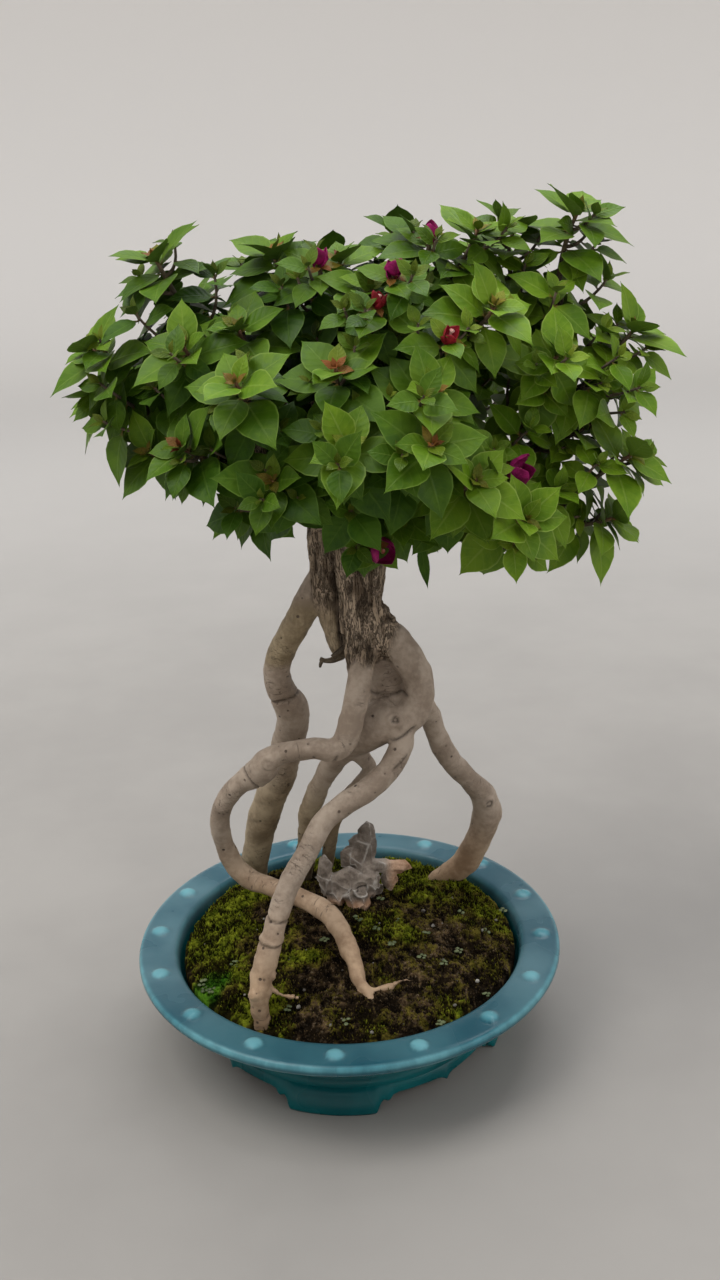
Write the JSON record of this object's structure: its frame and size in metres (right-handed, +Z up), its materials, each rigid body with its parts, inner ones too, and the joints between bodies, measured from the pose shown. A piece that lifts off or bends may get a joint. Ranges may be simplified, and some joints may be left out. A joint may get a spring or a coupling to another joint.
{
  "type": "bougainvillea bonsai",
  "caption": "Bougainvillea bonsai with a leafy crown and magenta bracts, its exposed roots standing over a stone in a round blue-green glazed pot with feet.",
  "frame": {"origin": "middle of the bounding box on the ground plane under the pot's feet", "axes": "+Z up, -Y towards the viewer of the picture, +X to the viewer's right"},
  "size_m": [0.4638, 0.3666, 0.6949],
  "materials": {
    "glaze": "glossy blue-green glaze",
    "soil": "damp matt soil under moss",
    "stone": "rough grey-brown rock",
    "bark": "smooth pale roots and rough furrowed bark",
    "bract": "thin papery magenta",
    "leaf": "soft green with a light sheen"
  },
  "bodies": {
    "root": {"pot": "glaze", "soil": "soil", "stone": "stone", "tree": "bark", "bloom_top_left": "bract", "bloom_top_pink": "bract", "bloom_top_red": "bract", "bloom_crest": "bract", "bloom_red": "bract", "bloom_right": "bract", "bloom_low": "bract", "spray_top_left": "leaf", "spray_left_tip": "leaf", "spray_left_front": "leaf", "spray_left_upper": "leaf", "spray_bright_left": "leaf", "spray_crest_left": "leaf", "spray_crest_middle": "leaf", "spray_crest_front": "leaf", "spray_front_upper": "leaf", "spray_front_bright": "leaf", "spray_front_right": "leaf", "spray_front_low_right": "leaf", "spray_yellow": "leaf", "spray_bright_right": "leaf", "spray_right_low_tip": "leaf", "spray_right_inner": "leaf", "spray_right_tip": "leaf", "spray_top_right": "leaf", "spray_crest_right": "leaf", "spray_crest_peak": "leaf", "spray_middle_right": "leaf", "spray_low_left": "leaf", "spray_left_drop": "leaf", "spray_left_bud": "leaf", "spray_left_under": "leaf", "spray_right_under": "leaf", "spray_front_under": "leaf", "spray_left_skirt": "leaf", "spray_right_front": "leaf", "spray_back_left_low": "leaf", "spray_back_left": "leaf", "spray_back_middle_left": "leaf", "spray_back_middle": "leaf", "spray_back_middle_right": "leaf", "spray_back_right": "leaf", "spray_back_right_side": "leaf", "spray_back_low_left": "leaf", "spray_back_low_middle": "leaf", "spray_back_low_right": "leaf", "spray_back_side_right": "leaf"}
  },
  "joints": []
}
